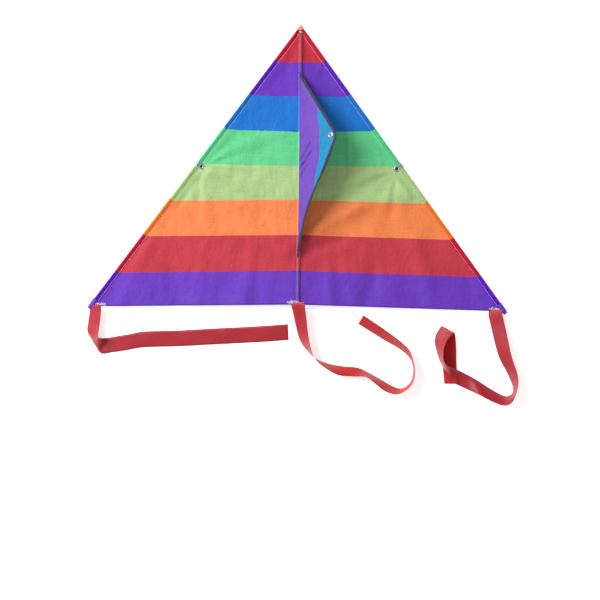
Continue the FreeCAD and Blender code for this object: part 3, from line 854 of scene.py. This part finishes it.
def make_keel_cloth():
    fin = Shell()
    rows, uvs, across = [], [], []
    count, columns = 240, 68
    for i in range(count):
        y = KEEL_TOP - 1 - (KEEL_TOP - KEEL_FOOT - 2) * i / (count - 1)
        wide = max(keel_depth(y) - 0.8, 0.2)
        row, uv, change = [], [], []
        for j in range(columns + 1):
            reach = wide * j / columns
            row.append(keel_point(reach, y))
            uv.append((y, reach))
            change.append(reach - (VIOLET_WIDTH + 4 * ease(y, 60, 105) - 4.5 * ease(y, 135, 165)))
        rows.append(row)
        uvs.append(uv)
        across.append(change)
    fin.grid(rows, uvs, across=across)

    def from_eyelet(face):
        reach, y = (sum(fin.uvs[k][axis] for k in face) / len(face) for axis in (1, 0))
        return math.hypot(reach - TOW_REACH, y - TOW.y)

    fin.faces = [face for face in fin.faces if from_eyelet(face) > EYELET_CUT]
    piece = thicken(fin.make("keel_fin", KEEL))
    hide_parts("keel_panel")
    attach(piece, "keel")


def keel_edge():
    """Samples of the bound edge's outer line, as (reach, y) pairs in the fin's plane."""
    outer = [(0.5, KEEL_TOP), (KEEL_DEPTH - 3, TIP_TOP + 4.0), (KEEL_DEPTH, TIP_TOP - 1.0),
             (KEEL_DEPTH, TIP_FOOT + 1.0), (KEEL_DEPTH - 2, TIP_FOOT - 5.0), (0.5, KEEL_FOOT)]
    samples = []
    for (ax, ay), (bx, by) in zip(outer, outer[1:]):
        steps = max(int(math.hypot(bx - ax, by - ay) / 2.5), 2)
        for k in range(steps):
            samples.append((ax + (bx - ax) * k / steps, ay + (by - ay) * k / steps))
    samples.append(outer[-1])
    smooth = samples
    for _ in range(3):
        smooth = [smooth[0]] + [
            tuple((a + 2 * b + c) / 4 for a, b, c in zip(*trio))
            for trio in zip(smooth, smooth[1:], smooth[2:])] + [smooth[-1]]
    return smooth


def make_binding():
    tape = Shell()
    line = keel_edge()
    section = [(-0.25, 0.0), (0.1, 0.5), (1.0, 0.62), (2.6, 0.6), (BINDING, 0.5), (BINDING, 0.2), (2.4, 0.16),
               (0.6, 0.1), (0.6, -0.1), (2.4, -0.16), (BINDING, -0.2), (BINDING, -0.5),
               (2.6, -0.6), (1.0, -0.62),
               (0.1, -0.5)]
    rows, uvs, run = [], [], 0.0
    for i, (reach, y) in enumerate(line):
        before, after = line[max(i - 1, 0)], line[min(i + 1, len(line) - 1)]
        run += math.hypot(reach - before[0], y - before[1])
        along = Vector((after[0] - before[0], after[1] - before[1])).normalized()
        inwards = Vector((along.y, -along.x))
        if inwards.x > 0:
            inwards = -inwards
        wobble = 1 + 0.06 * wave(run / 12, 5.0)
        row = []
        for depth, lift in section:
            x = max(reach + inwards.x * depth * wobble, 0.2)
            row.append(keel_point(x, y + inwards.y * depth * wobble, lift))
        rows.append(row)
        uvs.append([(k * 0.9, run) for k in range(len(section))])
    tape.grid(rows, uvs, ring=True, caps=True)
    piece = tape.make("keel_binding_tape", TAPE)
    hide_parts("keel_binding")
    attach(piece, "keel")
    stitches = []
    for reach, y in line[2:-2]:
        slope = 1 if y > TOW.y else -1
        stitches.append((keel_point(max(reach - 3.0, 0.5), y - slope * 2.2, 0.68), Vector((-0.6, 0, 0.8))))
    running_stitches("binding_stitches", stitches, 3.0, 2.2, 0.45, "keel",
                     finish=TAPE_THREAD)


TAPE_THREAD = moulded("dark_thread", colour(70, 78, 98), 0.6)
make_keel_cloth()
make_binding()


# ---- metal eyelets: a rolled flange in front, a barrel, and a split washer behind

def make_eyelet(node, name, body, tilt):
    centre = middle_mm(node)
    eyelet = Shell()
    front = [(2.45, -0.9), (2.45, 0.6), (2.6, 1.02), (3.0, 1.26), (3.6, 1.24), (4.4, 0.98), (4.9, 0.7),
             (5.0, 0.54),
             (4.7, 0.56), (3.2, 0.6), (2.95, 0.5), (2.95, -0.9)]
    eyelet.grid(lathe(front), ring=True)

    def petals(angle, radius):
        return radius + 0.35 * math.cos(8 * angle) * ease(radius, 3.0, 4.4)

    back = [(2.45, -0.85), (2.7, -1.02), (3.3, -0.98), (4.2, -0.72), (4.55, -0.5), (4.5, -0.38), (3.4, -0.45),
            (2.95, -0.5), (2.95, -0.85)]
    eyelet.grid(lathe(back, lobes=petals), ring=True)
    turned = Matrix.Rotation(tilt, 4, "Y")
    eyelet.points = [turned @ p + centre for p in eyelet.points]
    piece = eyelet.make(name, METAL)
    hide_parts(node)
    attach(piece, body)


for side, hand in SIDES:
    make_eyelet(f"{hand}_eyelet", f"{hand}_eyelet_ring", f"{hand}_wing", side * DROOP)
make_eyelet("tow_eyelet", "tow_eyelet_ring", "keel", -math.radians(KEEL_LEAN))


# ---- vinyl connectors: a clear strip round the leading edge, held by a post in the eyelet

def make_connector(side, hand):
    low, high = box_mm(f"{hand}_connector")
    centre = middle_mm(f"{hand}_eyelet")
    strip = Shell()
    loop = [(-4.8, 0.42), (0, 0.42), (2.2, 0.62), (3.6, 1.35), (5.4, 2.35), (7.2, 2.95), (9.2, 2.65),
            (11.1, 1.3), (11.7, 0),
            (11.1, -1.3), (9.2, -2.65), (7.2, -2.95), (5.4, -2.3), (3.6, -1.5), (0, -1.05), (-4.8, -1.1)]
    section = [(-4.2, -0.1), (-3.9, -0.24), (0, -0.25), (3.9, -0.24), (4.2, -0.1), (4.2, 0.1), (3.9, 0.24),
               (0, 0.25), (-3.9, 0.24), (-4.2, 0.1)]
    samples = spline(loop, 4)
    outwards = Vector((side * COS_EDGE, SIN_EDGE, 0))
    across = Vector((-side * SIN_EDGE, COS_EDGE, 0))
    rows = []
    for i, (out, up) in enumerate(samples):
        before, after = samples[max(i - 1, 0)], samples[min(i + 1, len(samples) - 1)]
        turn = Vector((after[0] - before[0], after[1] - before[1])).normalized()
        rows.append([centre + outwards * (out - turn.y * t) + across * w
                     + Vector((0, 0, up + turn.x * t - out * math.tan(DROOP) * COS_EDGE))
                     for w, t in section])
    strip.grid(rows, ring=True, caps=True)
    piece = strip.make(f"{hand}_connector_strip", VINYL)
    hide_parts(f"{hand}_connector")
    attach(piece, f"{hand}_wing")
    post = Shell()
    bottom = max(low.z, 0.2) - centre.z + 0.2
    profile = [(0.05, 0.8), (1.2, 0.84), (2.1, 0.92), (2.4, 0.98), (2.4, 0.7), (1.9, -1.2),
               (1.9, bottom + 0.6), (1.7, bottom), (0.05, bottom)]
    post.grid(lathe(profile, 28), ring=True)
    post.points = [p + centre for p in post.points]
    plug = post.make(f"{hand}_connector_post", BLACK_PLASTIC)
    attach(plug, f"{hand}_wing")


for side, hand in SIDES:
    make_connector(side, hand)

for name, node in frame["nodes"].items():
    finish = None
    if name.endswith(("_rod", "_spar")):
        finish = ROD
    elif name.endswith("_cap"):
        finish = BLACK_PLASTIC
    elif name.endswith("_socket"):
        finish = VINYL
    if finish:
        node.data.materials.clear()
        node.data.materials.append(finish)


# ---- tails: satin ribbons, each given by its two edges; where they come close the ribbon stands up

RIBBON = 26.0
RIBBON_FLOOR = 0.35

# stations: edge one (x, y), edge two (x, y), which edge rises
# (1 = two, -1 = one, between them part way), height of the lower edge
LEFT_TAIL = [
    (-354.5, -158, -334, -157, 1, 1.2), (-354.5, -168, -333, -166, 1, 0.9), (-357, -188, -335, -187, 1, 0.2),
    (-358, -202, -337, -202, 1, 0.1), (-351, -216, -337, -210, 1, 0.1), (-342, -230, -334.5, -213, 1, 0.1),
    (-333, -240, -326, -213.5, 1, 0.1), (-314, -237.5, -309, -210.5, 1, 0.2),
    (-290, -233.5, -287, -206.5, 1, 1.6),
    (-262, -228.5, -260, -201.5, 1, 0.5), (-202, -226, -202, -199, 1, 0.2),
    (-150, -222.5, -150, -195.5, 1, 1.4),
    (-100, -219.5, -100, -192.5, 1, 0.2), (-56, -216.5, -57, -189.5, 1, 0.7),
    (-14.5, -213, -16, -186, 1, 0.2)]
MIDDLE_TAIL = [
    (-10.5, -148, 12.3, -148, 1, 11.0), (-10, -155, 12.6, -155, 1, 10.6), (-4.3, -180, 15.8, -178, 1, 3.5),
    (1.9, -205, 18.6, -200, 1, 0.6), (9.5, -221, 21.4, -217, 1, 0), (18.5, -232, 25, -230, 1, 0),
    (30, -243, 29.6, -241.5, 1, 0), (52, -252, 44, -256, 1, 0), (80, -257, 70, -270.5, 1, 0),
    (104, -259, 96, -273, 1, 0), (124, -267.5, 118, -273.5, 1, 0), (144, -278.5, 134, -285, 1, 0),
    (161, -288, 150, -297, 1, 0), (175, -293.5, 170, -302, 1, 0), (186.5, -290.5, 187.5, -293.5, 1, 0),
    (195.5, -280.5, 197, -281, 1, 0), (199, -266, 200, -266, 1, 0), (198, -254, 198.6, -251, 1, 0),
    (192.5, -241, 191.5, -229, 1, 0), (177, -227, 176, -213.5, 1, 0.3), (144.5, -208.5, 148, -193, 1, 0.6),
    (104, -184, 112, -169, 1, 1.0)]
RIGHT_TAIL = [
    (328, -157, 349, -157, 1, 1.2), (326.5, -166, 348, -164, 1, 0.8), (331, -186, 353, -184, 1, 0.2),
    (336, -206, 358, -206, 1, 0), (342, -228, 363, -229, 1, 0), (348.5, -245, 368, -246, 1, 0),
    (357, -260, 372.5, -260, 1, 0), (365, -276, 375, -273, 1, 0), (370, -290, 374.5, -287, 1, 0),
    (368.5, -299.5, 370, -303, 1, 0), (360, -304.5, 364, -314.5, 1, 0), (350, -302, 352, -319, 1, 0),
    (331, -292, 334, -313.5, 1, 0), (308, -277.5, 309, -301, 1, 0.2), (284, -265, 286, -291, 0.1, 1.0),
    (266, -257, 265, -280, -0.9, 1.8), (254, -251.5, 254, -264, -1, 2.0), (248.5, -243, 243.5, -244, -1, 2.0),
    (248, -229, 237.5, -225, -1, 2.0), (251, -217, 235, -211, -1, 2.0), (257, -208, 238, -199, -1, 2.0),
    (265, -199.5, 244.5, -188.5, -1, 2.0), (267, -197, 246.5, -186.3, -1, 1.3),
    (269, -200, 246.5, -189, -0.9, 0.45), (271.5, -222, 247, -220, -0.6, 0.2),
    (272.5, -250, 249, -250, -0.3, 0.15),
    (275, -284, 252.5, -284.5, -0.3, 0.15)]


def make_ribbon(name, node, stations):
    ribbon = Shell()
    columns = 10
    samples = spline(stations, 9)
    rows, uvs, run = [], [], 0.0
    middle_before = None
    for k, (ax, ay, bx, by, rises, lift) in enumerate(samples):
        apart = math.hypot(bx - ax, by - ay)
        tall = math.sqrt(max(RIBBON ** 2 - apart ** 2, 0.0))
        first = Vector((ax, ay, RIBBON_FLOOR + max(lift, 0) + tall * max(-rises, 0)))
        second = Vector((bx, by, RIBBON_FLOOR + max(lift, 0) + tall * max(rises, 0)))
        centre = (first + second) / 2
        run += (centre - middle_before).length if middle_before else 0.0
        middle_before = centre
        ahead = samples[min(k + 1, len(samples) - 1)]
        behind = samples[max(k - 1, 0)]
        along = Vector(((ahead[0] + ahead[2] - behind[0] - behind[2]) / 2,
                        (ahead[1] + ahead[3] - behind[1] - behind[3]) / 2, 0))
        normal = (second - first).cross(along).normalized()
        if normal.z < 0:
            normal = -normal
        row = []
        for j in range(columns + 1):
            part = j / columns
            bow = 0.9 * math.sin(math.pi * part) * wave(run / 34, 7.0)
            point = first.lerp(second, part) + normal * bow
            point.z = max(point.z, FLOOR_GAP + 0.15)
            row.append(point)
        rows.append(row)
        uvs.append([(RIBBON * j / columns, run) for j in range(columns + 1)])
    ribbon.grid(rows, uvs)
    piece = thicken(ribbon.make(name, [RIBBON_BACK, RIBBON_FACE]), 0.24, back_material=1)
    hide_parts(node)
    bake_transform(piece)
    return piece, run


for name, stations, parent in (("left_tail", LEFT_TAIL, "left_wing"), ("middle_tail", MIDDLE_TAIL, "spine"),
                               ("right_tail", RIGHT_TAIL, "right_wing")):
    piece, run = make_ribbon(f"{name}_ribbon", name, stations)


# ---- floor, light and camera

floor_finish = Shader("floor", Roughness=0.9, Specular_IOR_Level=0.1)
floor_finish.surface.inputs["Base Color"].default_value = (0.86, 0.86, 0.86, 1)
floor_finish.surface.inputs["Emission Color"].default_value = (1, 1, 1, 1)
floor_finish.surface.inputs["Emission Strength"].default_value = 0.55
floor = make_object("floor", [(-4000, -4000, 0), (4000, -4000, 0), (4000, 4000, 0), (-4000, 4000, 0)],
                    [(0, 1, 2, 3)], floor_finish.material)

world = bpy.data.worlds.new("studio")
bpy.context.scene.world = world
world.use_nodes = True
world.node_tree.nodes["Background"].inputs["Color"].default_value = (1, 1, 1, 1)
world.node_tree.nodes["Background"].inputs["Strength"].default_value = 0.42


def area_light(name, place, aim, size, power):
    data = bpy.data.lights.new(name, "AREA")
    data.size, data.energy = size, power
    lamp = bpy.data.objects.new(name, data)
    lamp.location = place
    lamp.rotation_euler = (Vector(aim) - Vector(place)).to_track_quat("-Z", "Y").to_euler()
    bpy.context.scene.collection.objects.link(lamp)


area_light("key", (-2.0, 1.1, 1.9), (0, -0.05, 0), 1.5, 100)
area_light("fill", (2.2, -1.4, 2.6), (0, -0.1, 0), 2.0, 14)

camera_data = bpy.data.cameras.new("camera")
camera_data.lens, camera_data.sensor_width = 85, 36
camera = bpy.data.objects.new("camera", camera_data)
camera.location = (0.0043, -0.1445, 2.42)
camera.rotation_euler = (0, 0, math.radians(0.7))
bpy.context.scene.collection.objects.link(camera)
bpy.context.scene.camera = camera
bpy.context.scene.view_settings.view_transform = "Standard"
